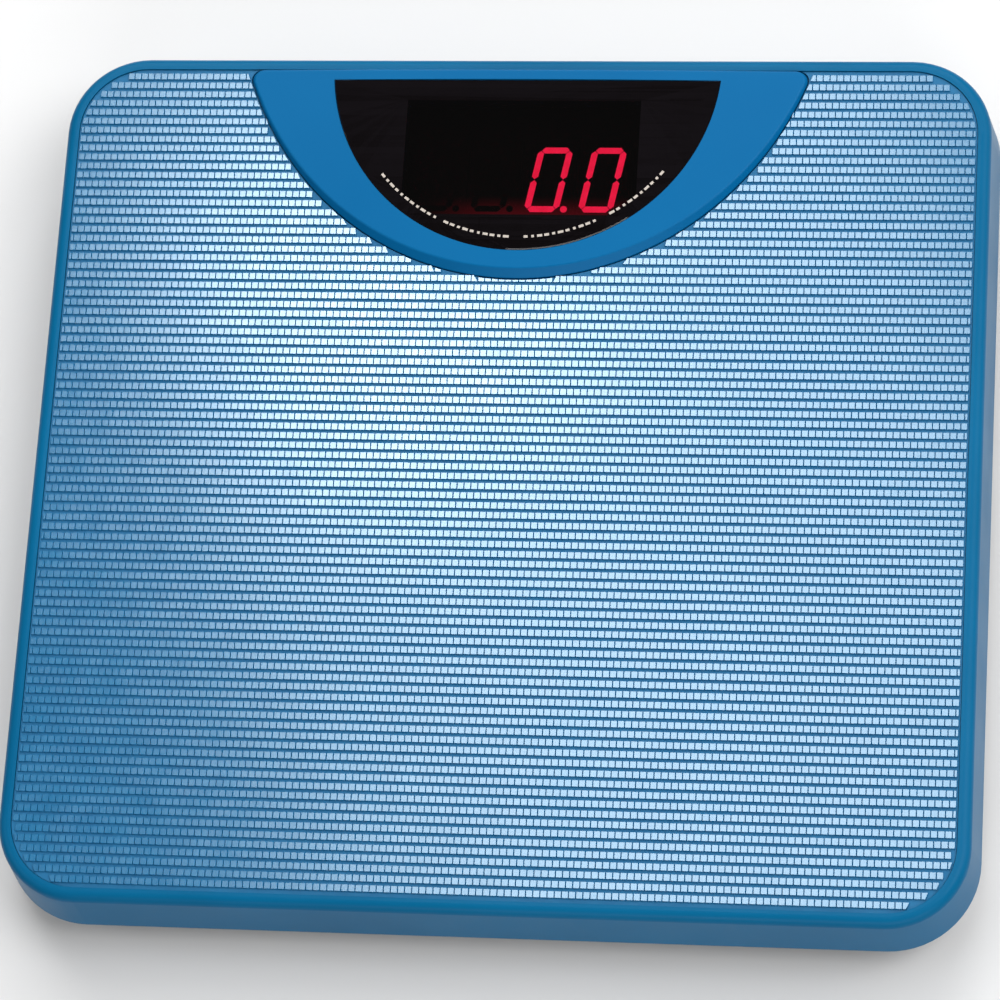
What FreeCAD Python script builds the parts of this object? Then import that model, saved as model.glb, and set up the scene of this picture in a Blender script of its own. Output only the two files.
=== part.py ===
import FreeCAD, Part
import math
import os

# Digital bathroom scale: a blue moulded platform on four weighing feet, with a red LED display
# under a smoked window at the back. Millimetres, +Z up. The origin is on the floor under the
# centre of the platform; the person stands facing +Y, so the display is on the +Y side.

V = FreeCAD.Vector
UP = V(0, 0, 1)

# ---- platform shell --------------------------------------------------------------------------
MAT_X = 150.0            # half width of the tread mat
MAT_Y = 140.5            # half depth of the tread mat
MAT_CORNER = 22.0        # corner radius of the mat
MAT_TOP = 38.0           # height of the standing surface above the floor
MAT_THICK = 2.2
MAT_GAP = 0.15           # gap between the mat and the lip of its recess
LIP_OUT = 1.2            # the lip is flat up to here, measured from the mat's outline
SHOULDER_R = 3.4         # radius of the rolled shoulder, from the lip down to the skirt
SKIRT_OUT = 7.0          # the skirt's draft ends this far past the mat
SKIRT_LOW = 13.0         # bottom edge of the skirt
SKIRT_EDGE = 0.6         # chamfer of the skirt's bottom edge
WALL = 2.6               # wall of the skirt
SHELL_BEND = 2.8         # inside radius between plate and skirt
RIM_IN = 9.0             # how far the shell's rim section reaches in under the mat
PLATE_THICK = 2.5
PLATE_TOP = MAT_TOP - MAT_THICK
PLATE_LOW = PLATE_TOP - PLATE_THICK
RIB_THICK = 2.0
RIB_LOW = 24.0           # lower edge of the stiffening ribs
RIB_REACH_X = 143.0
RIB_REACH_Y = 134.0
RIB_PITCH = 36.0
RIB_ROOM = 4.0           # room between the ribs and what they go round
THROUGH = 60.0           # a height above everything, for cuts that go right through

# ---- base tray -------------------------------------------------------------------------------
TRAY_X = 151.2
TRAY_Y = 141.7
TRAY_CORNER = 23.2
TRAY_LOW = 5.0
TRAY_FLOOR = 2.5
TRAY_TOP = TRAY_LOW + TRAY_FLOOR
TRAY_RIM_HIGH = 14.0
TRAY_RIM = 2.0
TRAY_ROUND = 1.8         # rounding of the tray's lower edge
CASE_SCREWS = ((138, 128), (-138, 128), (138, -128), (-138, -128), (141, 0), (-141, 0), (0, -131))
BOSS_R = 4.2
SCREW_R = 1.5            # case screw shank
CASE_SCREW_LONG = 12.0
HEAD_R = 3.4             # case screw head
HEAD_THICK = 2.2
SEAT_HIGH = 7.6          # where the heads of the case screws bear in the tray
POST_TOP = 10.0          # where the tray's screw posts meet the shell's bosses
THREAD_GAP = 0.05        # radial gap between a screw and its hole
CLEAR_R = 1.9            # clearance hole of a case screw

# ---- weighing feet ---------------------------------------------------------------------------
FOOT_X = 112.0
FOOT_Y = 102.0
CORNERS = {
    "front_left": (-1, -1),
    "front_right": (1, -1),
    "back_left": (-1, 1),
    "back_right": (1, 1),
}
FOOT_TRAVEL = 0.5        # stroke of a foot from unloaded to full load
CUP_R = 18.0
CUP_LOW = 1.8
FLANGE_R = 21.0
FLANGE_THICK = 1.5
WELL_HOLE_R = 19.0
WELL_R = 22.5            # inside radius of the well round a foot
WELL_WALL = 2.0
WELL_HIGH = 16.0         # top of the well, where the weighing beam lies
STEM_R = 5.0
STEM_GAP = 0.1           # room left over the stem at full stroke
PAD_R = 15.0
PAD_THICK = 3.0
BEAM_LONG = 56.0
BEAM_WIDE = 26.0
BEAM_THICK = 1.5
BEAM_BOLT = 23.5         # distance of the beam's screws from its centre
TONGUE_LONG = 24.0
TONGUE_WIDE = 12.0
TONGUE_SLOT = 1.6
CELL_SCREW_R = 1.2
LUG_R = 3.6              # screw lugs beside a well
LEAD_FROM_X = 19.5       # where a sensor's lead leaves its beam, from the foot's centre

# ---- display ---------------------------------------------------------------------------------
DISPLAY_X = 0.9          # centre of bezel and lens
BEZEL_HALF = 100.4       # half axis of the bezel's oval along X
BEZEL_DEEP = 111.4       # half axis along Y
BEZEL_MID_Y = 178.2      # centre of the oval
BEZEL_BACK = 140.2       # straight back edge
BEZEL_CORNER = 3.5
BEZEL_ROUND = 0.8        # rounding between the bezel's slope and its crown
BEZEL_GAP = 0.4          # gap between the bezel and the mat
BEZEL_SCREW_R = 1.4
BEZEL_BOSS_R = 3.0
BOSS_GAP = 0.4           # room round a bezel boss in the platform
BEZEL_RISE = 3.6         # how far the bezel stands above the mat
SLOPE_SIDE = 0.9         # width of the bezel's outer slope at the sides
SLOPE_FRONT = 3.8        # width of the slope at the front
CROWN_R = 2000.0         # radius of the bezel's crowned top
LENS_HALF = 65.0
LENS_DEEP = 66.5
LENS_MID_Y = 142.0
LENS_BACK = 135.9
LENS_THICK = 1.6
LENS_SUNK = 0.6          # depth of the lens below the bezel's crown
LENS_GAP = 0.15
LENS_EDGE = 0.3          # chamfer round the lens' top
LEDGE = 2.5              # width of the ledge that carries the lens
MASK_THICK = 0.6
WINDOW_LEFT = -38.5      # clear window in the mask
WINDOW_RIGHT = 39.5
MASK_BORDER = 5.0        # least width of the dark border round the window
WINDOW_FRONT = 88.3
WINDOW_BACK = 129.0
LENS_TOP = MAT_TOP + BEZEL_RISE - LENS_SUNK
MASK_TOP = LENS_TOP - LENS_THICK
LEDGE_TOP = MASK_TOP - MASK_THICK

DIGITS = 4
DIGIT_PITCH = 17.9
DIGIT_ROW_X = 1.1        # centre of the row of digits
DIGIT_Y = 101.4
DIGIT_HIGH = 22.9        # character height
DIGIT_WIDE = 11.6        # character width before the slant
SLANT = math.tan(math.radians(10))
STROKE = 2.1             # width of a lit bar
BAR_GAP = 0.35           # gap between neighbouring bars
BAR_DEEP = 0.6
POINT_R = 1.15
MODULE_WIDE = 17.6
MODULE_LONG = 28.0
MODULE_TALL = 8.0
MODULE_ROOM = 0.3        # room round the row of digit housings in the bezel
LED_TOP = 37.5
BOARD_TOP = LED_TOP - MODULE_TALL
BOARD_THICK = 1.6
BOARD_LOW = BOARD_TOP - BOARD_THICK
BOARD_X = 48.0
BOARD_FRONT = 80.0
BOARD_BACK = 134.0
BOARD_SCREW_IN = 3.6     # board screws' distance from the board's edges
BOARD_SCREW_R = 1.2
BOARD_POST_R = 3.0
SOCKET_LOW = 19.9
SOCKETS_X = (-36.0, -18.0, 20.0, 38.0)
POWER_SOCKET_X = 1.0
LEAD_Z = 21.6            # height of the leads that run across the scale
LEAD_R = 1.2
LEAD_BEND = 6.0

# ---- battery bay, battery and door -------------------------------------------------------------
BAY_X = -28.0
BAY_Y = 6.0
BAY_LONG = 63.0
BAY_WIDE = 29.0
BAY_WALL = 1.8
BAY_ROOF = 27.0
DOOR_LOW = 5.2
DOOR_THICK = 2.4
DOOR_LONG = 66.0
DOOR_WIDE = 32.4
DOOR_GAP = 0.3
HINGE_R = 1.0            # radius of the door's pins
HINGE_GAP = 0.06         # running clearance of the pins
PIN_OUT = 2.6
BATTERY = (48.5, 26.5, 17.5)
BATTERY_LOW = 8.2
POST_R = 3.2             # battery terminal posts
POST_OUT = 2.8
POST_SPACING = 12.8
SNAP_THICK = 4.2
POWER_LEAD_R = 1.4
POWER_LEAD_Z = 17.0      # where the battery's lead leaves its bay

# ---- unit switch -------------------------------------------------------------------------------
SWITCH_X = 48.0
SWITCH_Y = 6.0
SLIDE_TRAVEL = 3.0       # each way from the middle position
KNOB = (5.0, 4.0)
KNOB_LOW = 4.3
SLIDE_GAP = 0.3


def block(x0, x1, y0, y1, z0, z1):
    return Part.makeBox(x1 - x0, y1 - y0, z1 - z0, V(x0, y0, z0))


def rod(x, y, radius, z0, z1):
    return Part.makeCylinder(radius, z1 - z0, V(x, y, z0), UP)


def uprights(shape):
    """The straight edges of a shape that run along Z."""
    return [e for e in shape.Edges if abs(e.tangentAt(e.FirstParameter).z) > 0.99]


def slab(half_x, half_y, radius, z0, z1):
    """Rounded rectangle round the Z axis, from z0 up to z1."""
    body = block(-half_x, half_x, -half_y, half_y, z0, z1)
    return body.makeFillet(radius, uprights(body))


def joined(shapes):
    """One solid from shapes that overlap."""
    return shapes[0].multiFuse(shapes[1:]).removeSplitter()


def rim(section, half_x, half_y, radius):
    """A section in the XZ plane, with x = 0 on the outline, carried round a rounded rectangle."""
    parts = []
    for turn in range(4):
        reach, run = (half_x, half_y) if turn % 2 == 0 else (half_y, half_x)
        straight = run - radius
        side = section.translated(V(reach, -straight, 0)).extrude(V(0, 2 * straight, 0))
        corner = section.translated(V(radius, 0, 0)).revolve(V(0, 0, 0), UP, 90)
        corner.translate(V(reach - radius, straight, 0))
        for piece in (side, corner):
            piece.rotate(V(0, 0, 0), UP, 90 * turn)
            parts.append(piece)
    return joined(parts)


def path_face(edges):
    return Part.Face(Part.Wire(edges))


def chain(points):
    """Straight edges from point to point."""
    return [Part.LineSegment(a, b).toShape() for a, b in zip(points, points[1:])]


def oval(half, deep, mid_y, back, corner, z0, z1):
    """An oval round (DISPLAY_X, mid_y), cut straight at y = back, with that side's corners rounded."""
    middle = V(DISPLAY_X, mid_y, z0)
    long_axis = V(half, 0, 0)
    short_axis = V(0, deep, 0)
    if half > deep:
        ring = Part.Ellipse(middle + long_axis, middle + short_axis, middle).toShape()
    else:
        ring = Part.Ellipse(middle - short_axis, middle + long_axis, middle).toShape()
    whole = Part.Face(Part.Wire([ring])).extrude(V(0, 0, z1 - z0))
    body = whole.common(block(DISPLAY_X - half, DISPLAY_X + half, mid_y - deep, back, z0, z1))
    if corner:
        ends = [e for e in uprights(body) if abs(e.Vertexes[0].Y - back) < 0.01]
        body = body.makeFillet(corner, ends)
    return body


def low_wire(body, z):
    """The outline of the flat face of a body at height z."""
    return [f for f in body.Faces if abs(f.CenterOfMass.z - z) < 1e-6][0].OuterWire


def lens_outline(inset, z0, z1):
    return oval(LENS_HALF - inset, LENS_DEEP - inset, LENS_MID_Y, LENS_BACK - inset, 0, z0, z1)


def bezel_outline(outset, z0, z1):
    half = BEZEL_HALF + outset
    deep = BEZEL_DEEP + outset
    return oval(half, deep, BEZEL_MID_Y, BEZEL_BACK + outset, BEZEL_CORNER, z0, z1)


BEZEL_BOSSES = [(s * x, y) for s in (-1, 1) for x, y in ((80.0, 132.5), (61.0, 98.0))]
BOARD_SCREWS = [
    (s * (BOARD_X - BOARD_SCREW_IN), y)
    for s in (-1, 1)
    for y in (BOARD_FRONT + BOARD_SCREW_IN, BOARD_BACK - BOARD_SCREW_IN)
]


# ---- platform ----------------------------------------------------------------------------------
def quarter(middle, radius):
    """Quarter circle in the XZ plane, from +X up to +Z of its middle."""
    turn = radius * math.sqrt(0.5)
    across = middle + V(radius, 0, 0)
    return Part.Arc(across, middle + V(turn, 0, turn), middle + V(0, 0, radius)).toShape()


def shoulder_section():
    """Cut through the platform's edge: recess floor, flat lip, rolled shoulder, skirt, and back inside."""
    shoulder_mid = V(LIP_OUT, 0, MAT_TOP - SHOULDER_R)
    skirt_in = SKIRT_OUT - WALL
    bend_mid = V(LIP_OUT + SHOULDER_R - WALL - SHELL_BEND, 0, PLATE_LOW - SHELL_BEND)
    shoulder = quarter(shoulder_mid, SHOULDER_R)
    inside = quarter(bend_mid, SHELL_BEND)
    top = chain(
        [
            V(-RIM_IN, 0, PLATE_LOW),
            V(-RIM_IN, 0, PLATE_TOP),
            V(MAT_GAP, 0, PLATE_TOP),
            V(MAT_GAP, 0, MAT_TOP),
            V(LIP_OUT, 0, MAT_TOP),
        ]
    )
    skirt = chain(
        [
            shoulder_mid + V(SHOULDER_R, 0, 0),
            V(SKIRT_OUT, 0, SKIRT_LOW + SKIRT_EDGE),
            V(SKIRT_OUT - SKIRT_EDGE, 0, SKIRT_LOW),
            V(skirt_in, 0, SKIRT_LOW),
            bend_mid + V(SHELL_BEND, 0, 0),
        ]
    )
    close = chain([bend_mid + V(0, 0, SHELL_BEND), V(-RIM_IN, 0, PLATE_LOW)])
    return path_face(top + [shoulder] + skirt + [inside] + close)


def ribs():
    """Crossed stiffening ribs under the plate, clear of the display and of the battery bay."""
    parts = []
    count_x = int(RIB_REACH_X // RIB_PITCH)
    count_y = int(RIB_REACH_Y // RIB_PITCH)
    half = RIB_THICK / 2
    for i in range(-count_x, count_x + 1):
        x = i * RIB_PITCH
        parts.append(block(x - half, x + half, -RIB_REACH_Y, RIB_REACH_Y, RIB_LOW, PLATE_LOW + 1))
    for i in range(-count_y, count_y + 1):
        y = i * RIB_PITCH
        parts.append(block(-RIB_REACH_X, RIB_REACH_X, y - half, y + half, RIB_LOW, PLATE_LOW + 1))
    grid = joined(parts)
    display = block(-95, 95, BOARD_FRONT - RIB_ROOM, MAT_Y, 0, PLATE_LOW)
    half_x = DOOR_LONG / 2 + RIB_ROOM
    half_y = DOOR_WIDE / 2 + RIB_ROOM
    bay = block(BAY_X - half_x, BAY_X + half_x, BAY_Y - half_y, BAY_Y + half_y, 0, PLATE_LOW)
    return grid.cut(display).cut(bay)


def platform_shell():
    plate = slab(MAT_X - 8, MAT_Y - 8, MAT_CORNER - 8, PLATE_LOW, PLATE_TOP)
    parts = [rim(shoulder_section(), MAT_X, MAT_Y, MAT_CORNER), plate, ribs()]
    parts += [rod(x, y, BOSS_R, POST_TOP, PLATE_LOW + 1) for x, y in CASE_SCREWS]
    parts += [rod(x, y, BOARD_POST_R, BOARD_TOP, PLATE_LOW + 1) for x, y in BOARD_SCREWS]
    shell = joined(parts)
    bore_top = SEAT_HIGH + CASE_SCREW_LONG + 2
    holes = [block(WINDOW_LEFT, WINDOW_RIGHT, WINDOW_FRONT - 2, WINDOW_BACK, 0, MAT_TOP)]
    holes += [rod(x, y, SCREW_R + THREAD_GAP, 0, bore_top) for x, y in CASE_SCREWS]
    holes += [rod(x, y, BEZEL_BOSS_R + BOSS_GAP, PLATE_LOW, MAT_TOP) for x, y in BEZEL_BOSSES]
    holes += [rod(x, y, BOARD_SCREW_R + THREAD_GAP, BOARD_TOP - 1, PLATE_LOW) for x, y in BOARD_SCREWS]
    return shell.cut(holes[0].multiFuse(holes[1:]))


def tread_mat():
    mat = slab(MAT_X, MAT_Y, MAT_CORNER, PLATE_TOP, MAT_TOP)
    return mat.cut(bezel_outline(BEZEL_GAP, 0, THROUGH))


# ---- display -----------------------------------------------------------------------------------
def display_bezel():
    """Crescent round the lens: upright in the mat's thickness, then a slope that is widest at the front."""
    crown = MAT_TOP + BEZEL_RISE
    foot = bezel_outline(0, PLATE_TOP, MAT_TOP)
    low = bezel_outline(0, MAT_TOP, crown)
    high = oval(
        BEZEL_HALF - SLOPE_SIDE,
        BEZEL_DEEP - SLOPE_FRONT,
        BEZEL_MID_Y,
        BEZEL_BACK - SLOPE_SIDE,
        BEZEL_CORNER,
        crown,
        crown + 1,
    )
    cap = Part.makeLoft([low_wire(low, MAT_TOP), low_wire(high, crown)], True, True)
    dome = Part.makeSphere(CROWN_R, V(DISPLAY_X, LENS_BACK, crown - CROWN_R), UP, -90, 90, 360)
    cap = cap.common(dome)
    shoulder = [e for e in cap.Edges if e.Length > 1 and e.BoundBox.ZMin > MAT_TOP + 0.5]
    cap = cap.makeFillet(BEZEL_ROUND, shoulder)
    bosses = [rod(x, y, BEZEL_BOSS_R, PLATE_LOW + 0.1, PLATE_TOP + 1) for x, y in BEZEL_BOSSES]
    body = joined([foot, cap] + bosses)
    body = body.cut(lens_outline(LEDGE, 0, THROUGH)).cut(lens_outline(0, LEDGE_TOP, THROUGH))
    for x, y in BEZEL_BOSSES:
        body = body.cut(rod(x, y, BEZEL_SCREW_R + THREAD_GAP, 0, MAT_TOP + 0.6))
    row_left = DIGIT_ROW_X - DIGITS * DIGIT_PITCH / 2 - MODULE_ROOM
    row_right = DIGIT_ROW_X + DIGITS * DIGIT_PITCH / 2 + MODULE_ROOM
    row_front = DIGIT_Y - MODULE_LONG / 2 - MODULE_ROOM
    return body.cut(block(row_left, row_right, row_front, DIGIT_Y, 0, LED_TOP + MODULE_ROOM))


def display_lens():
    lens = lens_outline(LENS_GAP, MASK_TOP, LENS_TOP)
    top = [e for e in lens.Edges if min(v.Z for v in e.Vertexes) > LENS_TOP - 0.01]
    return lens.makeChamfer(LENS_EDGE, top)


def display_mask():
    """Dark backing of the lens. Its window keeps inside a border along the lens' curved edge."""
    window = block(WINDOW_LEFT, WINDOW_RIGHT, WINDOW_FRONT, WINDOW_BACK, 0, THROUGH)
    window = window.common(lens_outline(MASK_BORDER, 0, THROUGH))
    return lens_outline(LENS_GAP, LEDGE_TOP, MASK_TOP).cut(window)


def digit_x(number):
    return DIGIT_ROW_X + (number - (DIGITS - 1) / 2) * DIGIT_PITCH


def bar(ends, upright):
    """One pointed bar of a digit, before the slant: ends are the two tips' coordinates along its length."""
    half = STROKE / 2
    start, stop, across = ends
    tip = half * 0.9
    shape = [
        (start, 0),
        (start + tip, half),
        (stop - tip, half),
        (stop, 0),
        (stop - tip, -half),
        (start + tip, -half),
        (start, 0),
    ]
    if upright:
        return [(across + side, along) for along, side in shape]
    return [(along, across + side) for along, side in shape]


def digit_bars(number):
    """Bars a to g of one digit and its decimal point, as solids that lean to the right."""
    wide = (DIGIT_WIDE - STROKE) / 2
    high = (DIGIT_HIGH - STROKE) / 2
    half_gap = BAR_GAP / 2
    flat = (-wide + half_gap, wide - half_gap)
    plans = {
        "a": bar(flat + (high,), False),
        "b": bar((half_gap, high - half_gap, wide), True),
        "c": bar((-high + half_gap, -half_gap, wide), True),
        "d": bar(flat + (-high,), False),
        "e": bar((-high + half_gap, -half_gap, -wide), True),
        "f": bar((half_gap, high - half_gap, -wide), True),
        "g": bar(flat + (0,), False),
    }
    x = digit_x(number)
    solids = {}
    for name, plan in plans.items():
        corners = [V(x + u + v * SLANT, DIGIT_Y + v, LED_TOP - BAR_DEEP) for u, v in plan]
        solids[name] = path_face(chain(corners)).extrude(V(0, 0, BAR_DEEP))
    point = (x + wide + 2.6 - high * SLANT, DIGIT_Y - high)
    solids["point"] = rod(point[0], point[1], POINT_R, LED_TOP - BAR_DEEP, LED_TOP)
    return solids


def led_module(number):
    """A digit's housing, with a pocket for each bar."""
    x = digit_x(number)
    half_x = MODULE_WIDE / 2
    half_y = MODULE_LONG / 2
    body = block(x - half_x, x + half_x, DIGIT_Y - half_y, DIGIT_Y + half_y, BOARD_TOP, LED_TOP)
    for solid in digit_bars(number).values():
        body = body.cut(solid)
    return body


def segments(lit):
    """The bars of all digits that are lit, or those that are dark, when the display reads zero."""
    shown = []
    for number in range(DIGITS):
        on = "abcdef" if number >= DIGITS - 2 else ""
        for name, solid in digit_bars(number).items():
            is_on = name in on or (name == "point" and number == DIGITS - 2)
            if is_on == lit:
                shown.append(solid)
    return Part.Compound(shown)


def display_board():
    board = block(-BOARD_X, BOARD_X, BOARD_FRONT, BOARD_BACK, BOARD_LOW, BOARD_TOP)
    for x, y in BOARD_SCREWS:
        board = board.cut(rod(x, y, BOARD_SCREW_R + 0.3, 0, THROUGH))
    return board


def controller_chip():
    """Flat chip on the board's underside with a row of legs on each long side."""
    x, y = -22.0, 116.0
    body = block(x - 9, x + 9, y - 4, y + 4, BOARD_LOW - 2.6, BOARD_LOW - 0.3)
    legs = []
    for i in range(8):
        leg_x = x - 7.9 + i * 2.1
        legs.append(block(leg_x, leg_x + 1.0, y - 6, y + 6, BOARD_LOW - 0.6, BOARD_LOW))
    return joined([body] + legs)


def quartz_crystal():
    can = block(12, 23, 114, 118.5, BOARD_LOW - 3.5, BOARD_LOW)
    return can.makeFillet(2.1, uprights(can))


def socket(x):
    """A lead's plug socket on the underside of the board, with a mouth at the front."""
    body = block(x - 4.5, x + 4.5, BOARD_FRONT + 9, BOARD_FRONT + 15, SOCKET_LOW, BOARD_LOW)
    key = block(x - 1.5, x + 1.5, BOARD_FRONT + 15, BOARD_FRONT + 16, SOCKET_LOW + 1, BOARD_LOW)
    return joined([body, key])


def sensor_sockets():
    return Part.Compound([socket(x) for x in SOCKETS_X])


def screw(x, y, z, length, shank, head, head_thick):
    """A screw put in from below: z is the underside of the clamped part, where its head bears."""
    body = joined([rod(x, y, head, z - head_thick, z), rod(x, y, shank, z - 0.5, z + length)])
    slot_half = head * 0.16
    arm = head * 0.62
    drive = block(-arm, arm, -slot_half, slot_half, z - head_thick - 1, z - head_thick * 0.45)
    cross = drive.fuse(drive.rotated(V(0, 0, 0), UP, 90))
    return body.cut(cross.translated(V(x, y, 0)))


def board_screws():
    return Part.Compound(
        [screw(x, y, BOARD_LOW, 4.6, BOARD_SCREW_R, 2.6, 1.5) for x, y in BOARD_SCREWS]
    )


def bezel_screws():
    return Part.Compound(
        [screw(x, y, PLATE_LOW, 4.8, BEZEL_SCREW_R, 4.4, 1.8) for x, y in BEZEL_BOSSES]
    )


# ---- base tray -----------------------------------------------------------------------------------
def case_screws():
    return Part.Compound(
        [screw(x, y, SEAT_HIGH, CASE_SCREW_LONG, SCREW_R, HEAD_R, HEAD_THICK) for x, y in CASE_SCREWS]
    )


def foot_places():
    return {name: (sx * FOOT_X, sy * FOOT_Y) for name, (sx, sy) in CORNERS.items()}


def bay_box(grow, z0, z1):
    """The battery bay's plan, grown on every side, from z0 to z1."""
    half_x = BAY_LONG / 2 + grow
    half_y = BAY_WIDE / 2 + grow
    return block(BAY_X - half_x, BAY_X + half_x, BAY_Y - half_y, BAY_Y + half_y, z0, z1)


def hinge_x():
    return BAY_X - DOOR_LONG / 2 + DOOR_THICK / 2


def door_opening():
    half_x = DOOR_LONG / 2 + DOOR_GAP
    half_y = DOOR_WIDE / 2 + DOOR_GAP
    top = DOOR_LOW + DOOR_THICK + 0.2
    return block(BAY_X - half_x, BAY_X + half_x, BAY_Y - half_y, BAY_Y + half_y, 0, top)


def base_tray():
    floor = slab(TRAY_X, TRAY_Y, TRAY_CORNER, TRAY_LOW, TRAY_RIM_HIGH)
    lower = [e for e in floor.Edges if max(v.Z for v in e.Vertexes) < TRAY_LOW + 0.01]
    tray = floor.makeFillet(TRAY_ROUND, lower)
    hollow = slab(TRAY_X - TRAY_RIM, TRAY_Y - TRAY_RIM, TRAY_CORNER - TRAY_RIM, TRAY_TOP, THROUGH)
    tray = tray.cut(hollow)
    grown = [tray]
    for x, y in foot_places().values():
        well = rod(x, y, WELL_R + WELL_WALL, TRAY_LOW, WELL_HIGH)
        lugs = [rod(x + s * BEAM_BOLT, y, LUG_R, TRAY_LOW + 1, WELL_HIGH) for s in (-1, 1)]
        grown.append(joined([well] + lugs).cut(rod(x, y, WELL_R, TRAY_TOP, THROUGH)))
    grown += [rod(x, y, HEAD_R + 2.4, TRAY_LOW + 1, POST_TOP) for x, y in CASE_SCREWS]
    grown.append(bay_box(BAY_WALL, TRAY_LOW, BAY_ROOF + BAY_WALL))
    grown.append(bay_box(5.5, TRAY_LOW, TRAY_TOP + 2.0))
    tray = joined(grown)
    holes = [bay_box(0, 0, BAY_ROOF), door_opening()]
    for x, y in foot_places().values():
        holes.append(rod(x, y, WELL_HOLE_R, 0, TRAY_TOP))
        holes += [rod(x + s * BEAM_BOLT, y, CELL_SCREW_R + THREAD_GAP, 9, 30) for s in (-1, 1)]
    for x, y in CASE_SCREWS:
        holes.append(rod(x, y, CLEAR_R, 0, THROUGH))
        holes.append(rod(x, y, HEAD_R + 0.4, 0, SEAT_HIGH))
    pin_reach = DOOR_WIDE / 2 + PIN_OUT + 0.2
    axle = V(hinge_x(), BAY_Y - pin_reach, DOOR_LOW + DOOR_THICK / 2)
    holes.append(Part.makeCylinder(HINGE_R + HINGE_GAP, 2 * pin_reach, axle, V(0, 1, 0)))
    lead_hole = V(BAY_X + BAY_LONG / 2 - 4, BAY_Y, POWER_LEAD_Z)
    holes.append(Part.makeCylinder(POWER_LEAD_R + 0.5, 12, lead_hole, V(1, 0, 0)))
    slot_x = KNOB[0] / 2 + SLIDE_TRAVEL + SLIDE_GAP
    slot_y = KNOB[1] / 2 + SLIDE_GAP
    holes.append(block(SWITCH_X - slot_x, SWITCH_X + slot_x, SWITCH_Y - slot_y, SWITCH_Y + slot_y, 0, 8))
    for shape in holes:
        tray = tray.cut(shape)
    return tray


# ---- weighing feet -----------------------------------------------------------------------------
def foot_cup(x, y):
    """Cup that holds the rubber pad, with the flange that keeps it in its well and the load stem."""
    flange_low = TRAY_TOP + 0.1
    stem_top = WELL_HIGH - FOOT_TRAVEL - STEM_GAP
    cup = rod(x, y, CUP_R, CUP_LOW, flange_low + 0.5)
    lower = [e for e in cup.Edges if max(v.Z for v in e.Vertexes) < CUP_LOW + 0.01]
    cup = cup.makeFillet(1.0, lower)
    flange = rod(x, y, FLANGE_R, flange_low, flange_low + FLANGE_THICK)
    stem = rod(x, y, STEM_R, flange_low, stem_top)
    return joined([cup, flange, stem]).cut(rod(x, y, PAD_R + 0.2, 0, PAD_THICK))


def foot_pad(x, y):
    """Rubber disc with rounded lower edge and two shallow rings."""
    pad = rod(x, y, PAD_R, 0, PAD_THICK)
    lower = [e for e in pad.Edges if max(v.Z for v in e.Vertexes) < 0.01]
    pad = pad.makeFillet(0.8, lower)
    for radius in (6.0, 10.5):
        pad = pad.cut(Part.makeTorus(radius, 0.7, V(x, y, 0), UP))
    return pad


def sensor_beam(x, y):
    """Spring-steel beam across the well. A U-shaped slot leaves a tongue that the stem presses up."""
    half_x = BEAM_LONG / 2
    half_y = BEAM_WIDE / 2
    top = WELL_HIGH + BEAM_THICK
    beam = block(x - half_x, x + half_x, y - half_y, y + half_y, WELL_HIGH, top)
    beam = beam.makeFillet(4.0, uprights(beam))
    tongue_x = TONGUE_LONG / 2
    tongue_y = TONGUE_WIDE / 2
    slot_y = tongue_y + TONGUE_SLOT
    tip = x + tongue_x - TONGUE_SLOT
    around = block(x - tongue_x, x + tongue_x, y - slot_y, y + slot_y, 0, THROUGH)
    tongue = block(x - tongue_x - 1, tip, y - tongue_y, y + tongue_y, 0, THROUGH)
    beam = beam.cut(around.cut(tongue))
    for side in (-1, 1):
        beam = beam.cut(rod(x + side * BEAM_BOLT, y, CELL_SCREW_R + 0.3, 0, THROUGH))
    return beam


def strain_gauge(x, y):
    top = WELL_HIGH + BEAM_THICK
    return block(x - 9.5, x - 3.5, y - 2.2, y + 2.2, top, top + 0.3)


def sensor_screws():
    """Two screws through each beam into its well."""
    made = []
    for x, y in foot_places().values():
        for side in (-1, 1):
            top = WELL_HIGH + BEAM_THICK
            one = screw(x + side * BEAM_BOLT, y, top, 6.0, CELL_SCREW_R, 2.6, 1.5)
            made.append(one.mirror(V(0, 0, top), UP))
    return Part.Compound(made)


def lead(points, radius, bend):
    """A lead held inside the case: straight runs joined by tangent arcs, swept with its round section."""
    edges = []
    at = points[0]
    for before, corner, after in zip(points, points[1:], points[2:]):
        u = (before - corner).normalize()
        w = (after - corner).normalize()
        half = u.getAngle(w) / 2
        room = 0.45 * min((before - corner).Length, (after - corner).Length)
        set_back = min(bend / math.tan(half), room)
        start = corner + u * set_back
        stop = corner + w * set_back
        middle = (u + w).normalize()
        reach = set_back / math.cos(half)
        arc_r = set_back * math.tan(half)
        edges.append(Part.LineSegment(at, start).toShape())
        edges.append(Part.Arc(start, corner + middle * (reach - arc_r), stop).toShape())
        at = stop
    edges.append(Part.LineSegment(at, points[-1]).toShape())
    spine = Part.Wire(edges)
    section = Part.Wire([Part.makeCircle(radius, points[0], points[1] - points[0])])
    tube = spine.makePipeShell([section], True, False)
    print("lead", round(tube.Volume / (math.pi * radius**2 * spine.Length), 4), tube.isValid())
    return tube


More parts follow.
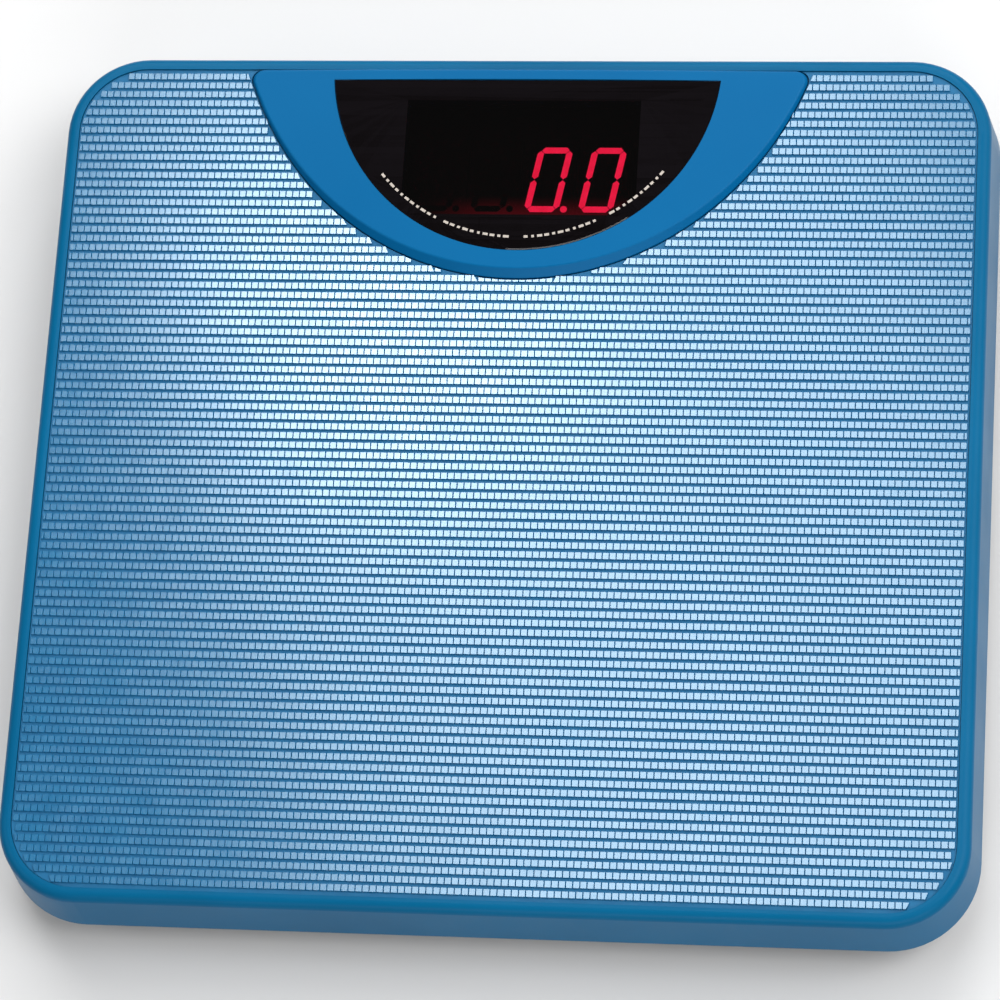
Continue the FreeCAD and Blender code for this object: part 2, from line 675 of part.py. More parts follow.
def sensor_lead(name):
    """From the beam straight up, then level round the battery bay to the socket under the display."""
    side, end = CORNERS[name]
    middle = (SOCKETS_X[1] + SOCKETS_X[2]) / 2
    near = (SOCKETS_X[2] - SOCKETS_X[1]) / 2
    far = (SOCKETS_X[3] - SOCKETS_X[0]) / 2
    start = V(side * (FOOT_X - LEAD_FROM_X), end * FOOT_Y, WELL_HIGH + BEAM_THICK)
    mouth = BOARD_FRONT + 9
    if end < 0:
        at = middle + side * near
        stops = [(72, -FOOT_Y + 4), (72, 40), (58, 58), (abs(at) + 12, 66)]
    else:
        at = middle + side * far
        stops = [(74, FOOT_Y - 6), (56, 79)]
    route = [start, V(start.x, start.y, LEAD_Z)]
    route += [V(side * x, y, LEAD_Z) for x, y in stops]
    route += [V(at, mouth - 12, LEAD_Z), V(at, mouth, LEAD_Z)]
    return lead(route, LEAD_R, LEAD_BEND)


# ---- battery, door and unit switch -----------------------------------------------------------------
def battery_end():
    return BAY_X - BAY_LONG / 2 + 1.0 + BATTERY[0]


def battery():
    """Nine-volt block lying on its side with its two posts towards +X."""
    end = battery_end()
    half = BATTERY[1] / 2
    top = BATTERY_LOW + BATTERY[2]
    can = block(end - BATTERY[0], end, BAY_Y - half, BAY_Y + half, BATTERY_LOW, top)
    along = [e for e in can.Edges if abs(e.tangentAt(e.FirstParameter).x) > 0.99]
    can = can.makeFillet(2.0, along)
    middle = BATTERY_LOW + BATTERY[2] / 2
    posts = []
    for side in (-1, 1):
        foot = V(end - 1, BAY_Y + side * POST_SPACING / 2, middle)
        posts.append(Part.makeCylinder(POST_R, POST_OUT + 1, foot, V(1, 0, 0)))
    return joined([can] + posts)


def battery_snap():
    """Snap connector on the battery's posts."""
    end = battery_end() + 0.1
    middle = BATTERY_LOW + BATTERY[2] / 2
    body = block(end, end + SNAP_THICK, BAY_Y - 12, BAY_Y + 12, middle - 5.5, middle + 5.5)
    body = body.makeFillet(3.0, [e for e in body.Edges if abs(e.tangentAt(e.FirstParameter).x) > 0.99])
    for side in (-1, 1):
        post = V(end - 1, BAY_Y + side * POST_SPACING / 2, middle)
        body = body.cut(Part.makeCylinder(POST_R + 0.1, POST_OUT + 1.1, post, V(1, 0, 0)))
    return body


def battery_lead():
    start = V(battery_end() + 0.1 + SNAP_THICK, BAY_Y, POWER_LEAD_Z)
    mouth = BOARD_FRONT + 9
    route = [
        start,
        V(17, BAY_Y, POWER_LEAD_Z),
        V(20, 30, LEAD_Z),
        V(POWER_SOCKET_X, 62, LEAD_Z),
        V(POWER_SOCKET_X, mouth, LEAD_Z),
    ]
    return lead(route, POWER_LEAD_R, LEAD_BEND)


def battery_foam():
    top = BATTERY_LOW + BATTERY[2]
    end = battery_end()
    return block(end - 40, end - 8, BAY_Y - 9, BAY_Y + 9, top, BAY_ROOF)


def battery_door():
    """Door in the tray's underside. Its rounded end turns on two short pins."""
    x0 = BAY_X - DOOR_LONG / 2
    half = DOOR_WIDE / 2
    middle = DOOR_LOW + DOOR_THICK / 2
    plate = block(hinge_x(), x0 + DOOR_LONG, BAY_Y - half, BAY_Y + half, DOOR_LOW, DOOR_LOW + DOOR_THICK)
    barrel = Part.makeCylinder(DOOR_THICK / 2, DOOR_WIDE, V(hinge_x(), BAY_Y - half, middle), V(0, 1, 0))
    long_pin = DOOR_WIDE + 2 * PIN_OUT
    pins = Part.makeCylinder(HINGE_R, long_pin, V(hinge_x(), BAY_Y - long_pin / 2, middle), V(0, 1, 0))
    door = joined([plate, barrel, pins])
    for i in range(5):
        x = x0 + DOOR_LONG - 6 - i * 2.2
        door = door.cut(block(x, x + 1.1, BAY_Y - 7, BAY_Y + 7, 0, DOOR_LOW + 0.6))
    return door


def unit_slider():
    """Knob in the slot of the tray, with the collar that keeps it in the switch."""
    half_x = KNOB[0] / 2
    half_y = KNOB[1] / 2
    knob = block(SWITCH_X - half_x, SWITCH_X + half_x, SWITCH_Y - half_y, SWITCH_Y + half_y, KNOB_LOW, 9.0)
    low = TRAY_TOP + SLIDE_GAP
    collar = block(SWITCH_X - 4.5, SWITCH_X + 4.5, SWITCH_Y - 3.2, SWITCH_Y + 3.2, low, low + 1.6)
    slider = joined([knob, collar])
    for i in (-1, 0, 1):
        x = SWITCH_X + i * 1.4
        slider = slider.cut(block(x - 0.3, x + 0.3, SWITCH_Y - 3, SWITCH_Y + 3, 0, KNOB_LOW + 0.5))
    return slider


def unit_switch():
    """Body of the slide switch, on the tray over the slot."""
    body = block(SWITCH_X - 12, SWITCH_X + 12, SWITCH_Y - 5, SWITCH_Y + 5, TRAY_TOP, 14.0)
    reach = 4.5 + SLIDE_TRAVEL + SLIDE_GAP
    track = block(SWITCH_X - reach, SWITCH_X + reach, SWITCH_Y - 3.5, SWITCH_Y + 3.5, 0, 9.8)
    return body.cut(track)


def model():
    """Every sub-part by the name of its file."""
    parts = {
        "platform_shell": platform_shell(),
        "tread_mat": tread_mat(),
        "display_bezel": display_bezel(),
        "display_lens": display_lens(),
        "display_mask": display_mask(),
        "lit_segments": segments(True),
        "dark_segments": segments(False),
        "display_board": display_board(),
        "controller_chip": controller_chip(),
        "quartz_crystal": quartz_crystal(),
        "sensor_sockets": sensor_sockets(),
        "battery_socket": socket(POWER_SOCKET_X),
        "board_screws": board_screws(),
        "bezel_screws": bezel_screws(),
        "base_tray": base_tray(),
        "case_screws": case_screws(),
        "sensor_screws": sensor_screws(),
        "battery": battery(),
        "battery_snap": battery_snap(),
        "battery_lead": battery_lead(),
        "battery_foam": battery_foam(),
        "battery_door": battery_door(),
        "unit_slider": unit_slider(),
        "unit_switch": unit_switch(),
    }
    for number in range(DIGITS):
        parts[f"led_module_{number + 1}"] = led_module(number)
    for name, (x, y) in foot_places().items():
        parts[f"foot_cup_{name}"] = foot_cup(x, y)
        parts[f"foot_pad_{name}"] = foot_pad(x, y)
        parts[f"sensor_beam_{name}"] = sensor_beam(x, y)
        parts[f"strain_gauge_{name}"] = strain_gauge(x, y)
        parts[f"sensor_lead_{name}"] = sensor_lead(name)
    return parts


os.makedirs("parts", exist_ok=True)
for node, shape in model().items():
    if not shape.isValid():
        print("not valid:", node)
    print(node, len(shape.Solids), round(shape.Volume))
    shape.exportStep(f"parts/{node}.step")
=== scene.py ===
import math

import bpy
import bmesh
import numpy as np
from mathutils import Matrix, Vector


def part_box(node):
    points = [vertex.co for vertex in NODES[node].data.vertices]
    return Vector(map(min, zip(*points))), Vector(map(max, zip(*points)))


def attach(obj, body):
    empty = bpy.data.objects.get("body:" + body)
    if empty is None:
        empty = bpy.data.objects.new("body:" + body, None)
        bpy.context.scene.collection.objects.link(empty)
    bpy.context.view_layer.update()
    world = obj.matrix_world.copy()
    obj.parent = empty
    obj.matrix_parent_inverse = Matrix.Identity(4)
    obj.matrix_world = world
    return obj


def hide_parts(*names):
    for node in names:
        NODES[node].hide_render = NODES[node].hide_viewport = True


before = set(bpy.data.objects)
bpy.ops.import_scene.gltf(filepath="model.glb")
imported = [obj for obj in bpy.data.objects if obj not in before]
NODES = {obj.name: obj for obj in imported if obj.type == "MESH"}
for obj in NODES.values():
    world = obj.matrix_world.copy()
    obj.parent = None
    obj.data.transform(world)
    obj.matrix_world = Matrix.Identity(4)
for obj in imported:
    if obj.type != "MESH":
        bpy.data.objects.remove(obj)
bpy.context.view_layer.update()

MM = 0.001
CASE = "case"                # the body that holds the mat and the lens

# The tread mat's half width, half depth and height, from its CAD solid.
MAT_X, MAT_Y, MAT_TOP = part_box("tread_mat")[1]
MAT_CORNER = 22.0 * MM

# Ovals of the display, as in the CAD: half axes, and the Y of their centres.
DISPLAY_X = 0.9 * MM
BEZEL_HALF = 100.4 * MM
BEZEL_DEEP = 111.4 * MM
BEZEL_MID_Y = 178.2 * MM
LENS_HALF = 65.0 * MM
LENS_DEEP = 66.5 * MM
LENS_MID_Y = 142.0 * MM

MIDDLE = (0, 0, 30 * MM)     # what the fill lamps face


# ---- camera and lamps --------------------------------------------------------
def direction(azimuth, elevation):
    """Unit vector from the object towards a place at that azimuth and elevation, in degrees."""
    a = math.radians(azimuth)
    e = math.radians(elevation)
    return Vector((math.sin(a) * math.cos(e), -math.cos(a) * math.cos(e), math.sin(e)))


CAMERA_AZIMUTH = 26.11       # degrees to the right of straight ahead
CAMERA_ELEVATION = 70.47
CAMERA_LEAN = 3.58           # degrees of turn about its own axis
CAMERA_AIM = (0.8 * MM, -9.5 * MM, MAT_TOP)
CAMERA_DISTANCE = 1.3261     # metres from the aim
CAMERA_LENS = 148.5          # focal length and sensor width, mm
CAMERA_SENSOR = 36.0


def make_camera():
    """A long lens from above, front and right, turned slightly about its own axis."""
    back = direction(CAMERA_AZIMUTH, CAMERA_ELEVATION)
    lean = math.radians(CAMERA_LEAN)
    right = Vector((-math.sin(lean), math.cos(lean), 0)).cross(back).normalized()
    up = back.cross(right)
    data = bpy.data.cameras.new("camera")
    data.sensor_width = CAMERA_SENSOR
    data.lens = CAMERA_LENS
    data.clip_start = 0.05
    data.clip_end = 50.0
    camera = bpy.data.objects.new("camera", data)
    bpy.context.scene.collection.objects.link(camera)
    camera.rotation_mode = "QUATERNION"
    camera.rotation_quaternion = Matrix((right, up, back)).transposed().to_quaternion()
    camera.location = Vector(CAMERA_AIM) + back * CAMERA_DISTANCE
    bpy.context.scene.camera = camera


def softbox(name, azimuth, elevation, distance, width, height, power, aim=MIDDLE):
    """A rectangular studio light that faces a point on the object; degrees, metres, watts."""
    data = bpy.data.lights.new(name, "AREA")
    data.shape = "RECTANGLE"
    data.size = width
    data.size_y = height
    data.energy = power
    lamp = bpy.data.objects.new(name, data)
    bpy.context.scene.collection.objects.link(lamp)
    away = direction(azimuth, elevation)
    lamp.location = Vector(aim) + away * distance
    lamp.rotation_mode = "QUATERNION"
    lamp.rotation_quaternion = away.to_track_quat("Z", "Y")
    return lamp


def keep_off(lamp, *nodes):
    """Shades CAD nodes from a lamp, as a flag on a stand does, so that they show no glare."""
    shaded = bpy.data.collections.new("flagged")
    lamp.light_linking.receiver_collection = shaded
    for node in nodes:
        shaded.objects.link(NODES[node])
    for entry in shaded.collection_objects:
        entry.light_linking.link_state = "EXCLUDE"


# ---- materials ---------------------------------------------------------------
def linear(code):
    """A colour from its sRGB hex code, as linear red, green, blue and alpha 1."""
    parts = [int(code[i : i + 2], 16) / 255 for i in (1, 3, 5)]
    curved = [p / 12.92 if p <= 0.04045 else ((p + 0.055) / 1.055) ** 2.4 for p in parts]
    return (*curved, 1.0)


def add(tree, kind, inputs=None, **settings):
    """Adds a node, gives it its settings, and sets or links its inputs."""
    made = tree.nodes.new(kind)
    for name, value in settings.items():
        setattr(made, name, value)
    for name, value in (inputs or {}).items():
        if isinstance(value, bpy.types.NodeSocket):
            tree.links.new(value, made.inputs[name])
        else:
            made.inputs[name].default_value = value
    return made


def material(name, **sockets):
    """A Principled material. Returns it with its tree and shader."""
    made = bpy.data.materials.new(name)
    made.use_nodes = True
    tree = made.node_tree
    tree.nodes.clear()
    shader = add(tree, "ShaderNodeBsdfPrincipled")
    for socket, value in sockets.items():
        shader.inputs[socket.replace("_", " ")].default_value = value
    add(tree, "ShaderNodeOutputMaterial", {"Surface": shader.outputs[0]})
    return made, tree, shader


GRAIN_SPAN = (0.3, 0.7)      # nearly all of the noise lies between these values


def grain(tree, size_mm, detail=2.0):
    """Noise whose cells measure size_mm on the object."""
    place = add(tree, "ShaderNodeTexCoord")
    return add(
        tree,
        "ShaderNodeTexNoise",
        {"Vector": place.outputs["Object"], "Scale": 1.0 / (size_mm * MM), "Detail": detail},
    )


def cloudy(tree, dark, light, size_mm):
    """A colour that drifts between two near shades, in clouds of size_mm."""
    cells = grain(tree, size_mm)
    shades = add(tree, "ShaderNodeValToRGB", {"Fac": cells.outputs["Fac"]})
    for element, position, code in zip(shades.color_ramp.elements, GRAIN_SPAN, (dark, light)):
        element.position = position
        element.color = linear(code)
    return shades.outputs["Color"]


def mottle(tree, shader, dark, light, size_mm):
    """Gives the shader a cloudy base colour."""
    tree.links.new(cloudy(tree, dark, light, size_mm), shader.inputs["Base Color"])


def texture_bump(tree, shader, size_mm, depth_mm):
    """A moulded texture: cells of size_mm raised by depth_mm."""
    cells = grain(tree, size_mm)
    relief = {"Height": cells.outputs["Fac"], "Distance": depth_mm * MM}
    bump = add(tree, "ShaderNodeBump", relief)
    tree.links.new(bump.outputs["Normal"], shader.inputs["Normal"])


def uneven_gloss(tree, shader, smooth, rough, size_mm):
    """Roughness that drifts between two values, as handled and moulded surfaces do."""
    cells = grain(tree, size_mm, 4.0)
    spread = add(
        tree,
        "ShaderNodeMapRange",
        {
            "Value": cells.outputs["Fac"],
            "From Min": GRAIN_SPAN[0],
            "From Max": GRAIN_SPAN[1],
            "To Min": smooth,
            "To Max": rough,
        },
    )
    tree.links.new(spread.outputs["Result"], shader.inputs["Roughness"])


def shell_abs():
    """Moulded ABS, mid blue. The eye sees a satin gloss with a soft highlight along the
    rolled shoulder."""
    made, tree, shader = material("shell_abs", IOR=1.53, Specular_IOR_Level=0.06)
    mottle(tree, shader, "#055880", "#075f89", 60)
    uneven_gloss(tree, shader, 0.28, 0.34, 25)
    texture_bump(tree, shader, 0.9, 0.004)
    return made


def bezel_abs():
    """Moulded ABS, deep clear blue, fine matt tool. The eye sees a smooth and even face with
    no glare."""
    made, tree, shader = material("bezel_abs", IOR=1.53, Specular_IOR_Level=0.1)
    mottle(tree, shader, "#00649c", "#0168a0", 50)
    uneven_gloss(tree, shader, 0.42, 0.48, 20)
    texture_bump(tree, shader, 1.1, 0.003)
    return made


def pearl_vinyl():
    """Soft vinyl, blue, with mica pearl in its skin. The eye sees each pad flare white where
    it faces the light. The mica's high IOR makes the sheen stronger than plain vinyl's."""
    made, tree, shader = material("pearl_vinyl", IOR=2.5, Specular_Tint=linear("#ddedf4"))
    mottle(tree, shader, "#0a6492", "#0f6c9a", 4)
    uneven_gloss(tree, shader, 0.16, 0.21, 9)
    texture_bump(tree, shader, 0.5, 0.004)
    return made


def groove_vinyl_painted_shade():
    """The same vinyl between the pads and on their sides, in a deeper, duller blue that is
    painted shade for the grooves.
    """
    made, tree, shader = material("groove_vinyl_painted_shade", IOR=1.52, Specular_IOR_Level=0.2)
    mottle(tree, shader, "#15608c", "#1a6894", 6)
    uneven_gloss(tree, shader, 0.45, 0.55, 9)
    return made


def smoked_acrylic():
    """Cast acrylic, smoked with a red tint, polished. The eye sees a near-black window that
    lets red through."""
    made, tree, shader = material("smoked_acrylic", IOR=1.49, Transmission_Weight=1.0)
    mottle(tree, shader, "#5c343c", "#603840", 40)
    uneven_gloss(tree, shader, 0.03, 0.05, 18)
    return made


def black_print():
    """Screen-printed film behind the lens. The eye sees a faint plum field round the blacker
    window; its weak glow stands for the room light that comes back through the lens."""
    made, tree, shader = material("black_print", IOR=1.45, Specular_IOR_Level=0.2)
    mottle(tree, shader, "#5a3c48", "#60404e", 12)
    uneven_gloss(tree, shader, 0.55, 0.65, 8)
    tree.links.new(cloudy(tree, "#1f2428", "#242a2e", 30), shader.inputs["Emission Color"])
    shader.inputs["Emission Strength"].default_value = 1.0
    return made


def lit_bar():
    """Lit LED light bar: cloudy epoxy that glows crimson, a little unevenly along each bar."""
    made, tree, shader = material("lit_bar", IOR=1.5, Roughness=0.4)
    glow = cloudy(tree, "#e02c5a", "#ee3468", 3)
    tree.links.new(glow, shader.inputs["Base Color"])
    tree.links.new(glow, shader.inputs["Emission Color"])
    shader.inputs["Emission Strength"].default_value = 9.0
    return made


def dark_bar():
    """Unlit LED light bar: cloudy epoxy, very dark red."""
    made, tree, shader = material("dark_bar", IOR=1.5)
    mottle(tree, shader, "#12070a", "#180a0d", 3)
    uneven_gloss(tree, shader, 0.4, 0.5, 3)
    return made


# Axis, and where on it in mm the painted red glow of stray light has faded out and where it is
# full.
PAINTED_STRAY_GLOW = (("X", -34, -4), ("Y", 96, 86))


def led_housing():
    """Moulded black display housing, with a red glow painted on its lower part as emission,
    which stands for stray light from the lit digits."""
    made, tree, shader = material("led_housing", IOR=1.5)
    mottle(tree, shader, "#0b0b0d", "#101012", 4)
    uneven_gloss(tree, shader, 0.5, 0.6, 5)
    # Painted glow: an emission that brightens towards the lit digits, for their stray light on
    # the housing.
    place = add(tree, "ShaderNodeTexCoord")
    axes = add(tree, "ShaderNodeSeparateXYZ", {"Vector": place.outputs["Object"]})
    fades = []
    for axis, dark_at, full_at in PAINTED_STRAY_GLOW:
        fade = add(
            tree,
            "ShaderNodeMapRange",
            {"Value": axes.outputs[axis], "From Min": dark_at * MM, "From Max": full_at * MM},
            interpolation_type="SMOOTHSTEP",
        )
        fades.append(fade.outputs["Result"])
    painted_stray = add(tree, "ShaderNodeMath", {0: fades[0], 1: fades[1]}, operation="MULTIPLY")
    red = linear("#d02048")[:3]
    scaled = {0: red, "Scale": painted_stray.outputs["Value"]}
    glow = add(tree, "ShaderNodeVectorMath", scaled, operation="SCALE")
    tree.links.new(glow.outputs["Vector"], shader.inputs["Emission Color"])
    shader.inputs["Emission Strength"].default_value = 0.9
    return made


def charcoal_abs():
    """Moulded ABS, charcoal, spark-textured tool. The eye sees a dry, even, faintly grainy
    surface."""
    made, tree, shader = material("charcoal_abs", IOR=1.53)
    mottle(tree, shader, "#1d2024", "#23272b", 30)
    uneven_gloss(tree, shader, 0.5, 0.62, 12)
    texture_bump(tree, shader, 0.7, 0.03)
    return made


def foot_rubber():
    """Moulded nitrile rubber: matt black with a dusty bloom."""
    made, tree, shader = material("foot_rubber", IOR=1.52)
    mottle(tree, shader, "#141414", "#1e1e1f", 5)
    uneven_gloss(tree, shader, 0.72, 0.85, 6)
    texture_bump(tree, shader, 0.4, 0.02)
    return made


def plated_steel(name, dark, light, smooth, rough):
    """Zinc or nickel plated steel: bright grey with faint drawing marks."""
    made, tree, shader = material(name, Metallic=1.0)
    mottle(tree, shader, dark, light, 6)
    uneven_gloss(tree, shader, smooth, rough, 2)
    texture_bump(tree, shader, 0.3, 0.004)
    return made


def plain_plastic(name, dark, light, smooth, rough):
    """Small moulded or cast parts: an even colour with a slight moulding texture."""
    made, tree, shader = material(name, IOR=1.5)
    mottle(tree, shader, dark, light, 5)
    uneven_gloss(tree, shader, smooth, rough, 4)
    texture_bump(tree, shader, 0.5, 0.01)
    return made


def stage_paper():
    """Seamless studio paper: plain, pale and matt."""
    made, tree, shader = material("stage_paper", IOR=1.4, Roughness=0.9, Specular_IOR_Level=0.1)
    mottle(tree, shader, "#dadada", "#dcdcdc", 300)
    return made


def paint(node, finish):
    """Gives a CAD node one material over all its faces."""
    data = NODES[node].data
    if not data.materials:
        data.materials.append(finish)
    for i in range(len(data.materials)):
        data.materials[i] = finish


# ---- mesh helpers ------------------------------------------------------------
def new_object(name, vertices, faces, *finishes):
    """An object with these faces and materials; the faces take the first one."""
    mesh = bpy.data.meshes.new(name)
    mesh.from_pydata(vertices, [], faces)
    mesh.update()
    mesh.shade_smooth()
    for finish in finishes:
        mesh.materials.append(finish)
    made = bpy.data.objects.new(name, mesh)
    bpy.context.scene.collection.objects.link(made)
    return made


# ---- tread mat ---------------------------------------------------------------
ROW_PITCH = 3.247 * MM
ROWS = 86
PAD_PITCH = 2.25 * MM
PAD_LONG = 2.14 * MM         # a pad's size along its row
PAD_WIDE = 2.32 * MM         # and across it
PAD_HIGH = 0.6 * MM
PAD_SUNK = 0.1 * MM          # how far a pad's wall goes down into the sheet
PAD_EDGE = 0.14 * MM         # width of a pad's rounding
PAD_DROP = 0.2 * MM          # and its height
PAD_DRAFT = 0.03 * MM        # how far a pad's wall leans in
EDGE_ROOM = 0.5 * MM         # plain strip between the pads and the mat's edge
DISPLAY_ROOM = 0.6 * MM      # and between the pads and the display
LEAST_PAD = 0.5 * MM         # a shorter leftover of a pad is left out
FACES_OF_PAD = 9             # four walls, four edges, and the flat top as the last


def mat_half_width(y):
    """Half the mat's width at y."""
    over = abs(y) - (MAT_Y - MAT_CORNER)
    if over <= 0:
        return MAT_X
    return MAT_X - MAT_CORNER + math.sqrt(max(0.0, MAT_CORNER**2 - over**2))


def bezel_half_width(y):
    """Half the width of the bezel's oval at y, or 0 in front of it."""
    share = (BEZEL_MID_Y - y) / BEZEL_DEEP
    return BEZEL_HALF * math.sqrt(1 - share**2) if abs(share) < 1 else 0.0


def bezel_front(x):
    """The y at which pads have to end in front of the display."""
    share = (x - DISPLAY_X) / BEZEL_HALF
    return BEZEL_MID_Y - BEZEL_DEEP * math.sqrt(max(0.0, 1 - share**2)) - DISPLAY_ROOM


def pad_plan(middle, front, back):
    """A pad's corners, anticlockwise, cut back to stay clear of the mat's edge and display."""
    ends = []
    for y in (front, back):
        high = mat_half_width(y) - EDGE_ROOM
        low = -high
        inner = bezel_half_width(y)
        if inner and middle < DISPLAY_X:
            high = DISPLAY_X - inner - DISPLAY_ROOM
        elif inner:
            low = DISPLAY_X + inner + DISPLAY_ROOM
        ends.append((max(low, middle - PAD_LONG / 2), min(high, middle + PAD_LONG / 2)))
    (a, b), (c, d) = ends
    if min(b - a, d - c) >= LEAST_PAD:
        return (a, front), (b, front), (d, back), (c, back)
    if b - a < LEAST_PAD or abs(middle - DISPLAY_X) > BEZEL_HALF - PAD_LONG:
        return None
    left, right = min(back, bezel_front(a)), min(back, bezel_front(b))
    if min(left, right) - front < LEAST_PAD:
        return None
    return (a, front), (b, front), (b, right), (a, left)


def pads():
    """Vertices and faces of every raised pad: a low wall, a rounded edge and a flat top."""
    levels = (
        (0.0, MAT_TOP - PAD_HIGH - PAD_SUNK),
        (PAD_DRAFT, MAT_TOP - PAD_DROP),
        (PAD_EDGE, MAT_TOP),
    )
    inward = ((1, 1), (-1, 1), (-1, -1), (1, -1))
    count = math.ceil(MAT_X / PAD_PITCH)
    vertices = []
    faces = []
    for row in range(ROWS):
        y = (row - (ROWS - 1) / 2) * ROW_PITCH
        stagger = (row % 2) * PAD_PITCH / 2
        for i in range(-count, count + 1):
            plan = pad_plan(i * PAD_PITCH + stagger, y - PAD_WIDE / 2, y + PAD_WIDE / 2)
            if plan is None:
                continue
            start = len(vertices)
            for inset, z in levels:
                for (cx, cy), (sx, sy) in zip(plan, inward):
                    vertices.append((cx + sx * inset, cy + sy * inset, z))
            for ring in (start, start + 4):
                for k in range(4):
                    n = (k + 1) % 4
                    faces.append((ring + k, ring + n, ring + 4 + n, ring + 4 + k))
            faces.append((start + 8, start + 9, start + 10, start + 11))
    return vertices, faces


def make_mat(pad_finish, groove_shade_finish):
    """The mat as one sheet with its pads. The sheet is the CAD mat's outline, lower by the
    pads' height."""
    source = NODES["tread_mat"].data
    sheet_top = MAT_TOP - PAD_HIGH
    vertices = [(*v.co.xy, min(v.co.z, sheet_top)) for v in source.vertices]
    faces = [tuple(p.vertices) for p in source.polygons]
    sheet_faces = len(faces)
    raised, sides = pads()
    offset = len(vertices)
    vertices += raised
    faces += [tuple(offset + i for i in side) for side in sides]
    mat = new_object("mat_ribbed", vertices, faces, groove_shade_finish, pad_finish)
    # Only the pads' flat tops take the pearl vinyl; the sheet and the pads' sides take the
    # groove vinyl, whose deeper blue is painted shade.
    tops = slice(sheet_faces + FACES_OF_PAD - 1, None, FACES_OF_PAD)
    index = np.zeros(len(faces), np.int32)
    index[tops] = 1
    mat.data.polygons.foreach_set("material_index", index)
    smooth = np.zeros(len(faces), bool)
    smooth[sheet_faces:] = True
    smooth[tops] = False
    mat.data.polygons.foreach_set("use_smooth", smooth)
    mat.data.update()
    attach(mat, CASE)
    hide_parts("tread_mat")


# ---- lens marks --------------------------------------------------------------
MARK_THICK = 0.02 * MM
MARK_IN = 4.6 * MM           # from the lens' edge to the row of marks
MARK_WIDE = 0.85 * MM
MARK_RUNS = ((221, 243), (247, 268), (273, 296), (301, 321))    # degrees round the lens' oval
MARK_STEP = 2.2              # degrees from mark to mark
MARK_LENGTHS = (1.6, 1.0, 1.9, 1.3, 0.9, 1.7)                  # mm, repeated in turn
SQUARE = ((-1, -1), (1, -1), (1, 1), (-1, 1))
BLOCK_SIDES = (
    (0, 1, 2, 3),
    (4, 5, 6, 7),
    (0, 1, 5, 4),
    (1, 2, 6, 5),
    (2, 3, 7, 6),
    (3, 0, 4, 7),
)


def oval_point(turn, inset):
    """A place on the lens' oval, moved in by inset, with the direction along the oval."""
    t = math.radians(turn)
    half, deep = LENS_HALF - inset, LENS_DEEP - inset
    place = Vector((DISPLAY_X + half * math.cos(t), LENS_MID_Y + deep * math.sin(t)))
    along = Vector((-half * math.sin(t), deep * math.cos(t))).normalized()
    return place, along


def make_lens_marks(finish):
    """Plain printed dashes along the lens' curved edge, as thin raised ink."""
    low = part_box("display_lens")[1].z
    mesh = bmesh.new()
    count = 0
    for start, end in MARK_RUNS:
        turn = start
        while turn < end:
            place, along = oval_point(turn, MARK_IN)
            out = Vector((along.y, -along.x))
            half = MARK_LENGTHS[count % len(MARK_LENGTHS)] * MM / 2
            ring = []
            for z in (low, low + MARK_THICK):
                for a, b in SQUARE:
                    corner = place + along * (a * half) + out * (b * MARK_WIDE / 2)
                    ring.append(mesh.verts.new((corner.x, corner.y, z)))
            for side in BLOCK_SIDES:
                mesh.faces.new([ring[i] for i in side])
            turn += MARK_STEP
            count += 1
    bmesh.ops.recalc_face_normals(mesh, faces=mesh.faces)
    data = bpy.data.meshes.new("lens_marks")
    mesh.to_mesh(data)
    mesh.free()
    data.materials.append(finish)
    marks = bpy.data.objects.new("lens_marks", data)
    bpy.context.scene.collection.objects.link(marks)
    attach(marks, CASE)


# ---- room and assembly -------------------------------------------------------
FLOOR_HALF = 6.0             # metres


def make_floor():
    """A plain floor far wider than the object."""
    corners = [(a * FLOOR_HALF, b * FLOOR_HALF, 0) for a, b in SQUARE]
    new_object("floor", corners, [(0, 1, 2, 3)], stage_paper())


# Name; azimuth and elevation, degrees; distance, width and height, metres; watts; aim.
KEY_LAMPS = (
    ("key", 197.4, 72.3, 1.52, 0.54, 0.8, 5.5, (0.018, -0.026, MAT_TOP)),
    ("key_core", 207.7, 67.1, 1.57, 0.24, 0.24, 0.9, (-0.03, 0.05, MAT_TOP)),
)
FILL_LAMPS = (
    ("front", 15, 28, 2.4, 2.4, 1.2, 28),
    ("left", -75, 42, 2.2, 1.4, 1.0, 6),
    ("right", 113, 34, 2.2, 2.0, 1.4, 20),
    ("back", 186, 40, 2.4, 2.4, 1.6, 44),
    ("overhead", 90, 60, 2.4, 1.2, 1.2, 20),
)
ROOM_LIGHT = 0.07            # strength of the light from all round


def light_room():
    """The key lamps lie where the mat mirrors them to the camera; large, dim softboxes fill the
    rest."""
    world = bpy.data.worlds.new("room")
    world.use_nodes = True
    background = world.node_tree.nodes["Background"]
    background.inputs["Color"].default_value = linear("#ffffff")
    background.inputs["Strength"].default_value = ROOM_LIGHT
    bpy.context.scene.world = world
    for values in KEY_LAMPS:
        keep_off(softbox(*values), "display_lens", "display_bezel")
    for values in FILL_LAMPS:
        softbox(*values)


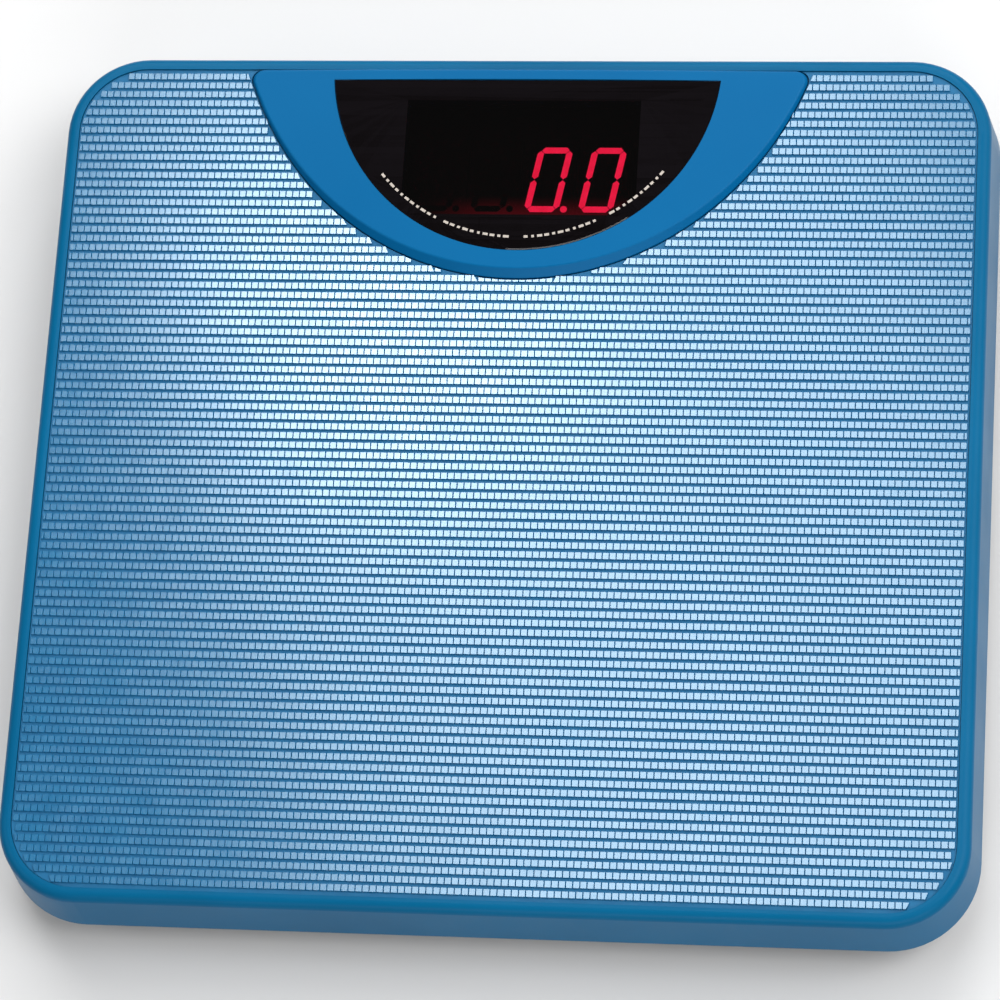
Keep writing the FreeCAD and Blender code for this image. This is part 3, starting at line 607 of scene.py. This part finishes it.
def main():
    """Sets up the room, then gives every CAD node its material and adds the mat and marks."""
    bpy.context.scene.view_settings.view_transform = "Standard"
    make_camera()
    make_floor()
    light_room()
    charcoal = charcoal_abs()
    rubber = foot_rubber()
    zinc = plated_steel("zinc_plate", "#b0b2b4", "#c6c8ca", 0.25, 0.35)
    nickel = plated_steel("nickel_plate", "#a8a59d", "#bdbab2", 0.28, 0.4)
    epoxy = plain_plastic("chip_epoxy", "#131313", "#1c1c1c", 0.45, 0.6)
    nylon = plain_plastic("natural_nylon", "#e4e0d0", "#ece8da", 0.35, 0.45)
    jacket = plain_plastic("pvc_jacket", "#17181a", "#202225", 0.4, 0.5)
    finishes = {
        "platform_shell": shell_abs(),
        "display_bezel": bezel_abs(),
        "display_lens": smoked_acrylic(),
        "display_mask": black_print(),
        "lit_segments": lit_bar(),
        "dark_segments": dark_bar(),
        "display_board": plain_plastic("solder_mask", "#0b4a2c", "#0e5533", 0.25, 0.35),
        "controller_chip": epoxy,
        "quartz_crystal": zinc,
        "sensor_sockets": nylon,
        "battery_socket": nylon,
        "board_screws": zinc,
        "bezel_screws": zinc,
        "case_screws": zinc,
        "sensor_screws": zinc,
        "base_tray": charcoal,
        "battery": plain_plastic("can_lacquer", "#17191c", "#1f2226", 0.3, 0.4),
        "battery_snap": epoxy,
        "battery_lead": jacket,
        "battery_foam": plain_plastic("cell_foam", "#3a3a3e", "#4a4a50", 0.9, 0.98),
        "battery_door": charcoal,
        "unit_slider": nylon,
        "unit_switch": epoxy,
    }
    numbered = {
        "led_module": led_housing(),
        "strain_gauge": plain_plastic("gauge_film", "#a8641e", "#b87024", 0.25, 0.35),
        "foot_cup": charcoal,
        "foot_pad": rubber,
        "sensor_beam": nickel,
        "sensor_lead": jacket,
    }
    for node in NODES:
        for start, finish in numbered.items():
            if node.startswith(start):
                finishes[node] = finish
    for node, finish in finishes.items():
        paint(node, finish)
    make_mat(pearl_vinyl(), groove_vinyl_painted_shade())
    make_lens_marks(plain_plastic("printed_ink", "#aaa096", "#b4aaa0", 0.4, 0.5))


main()
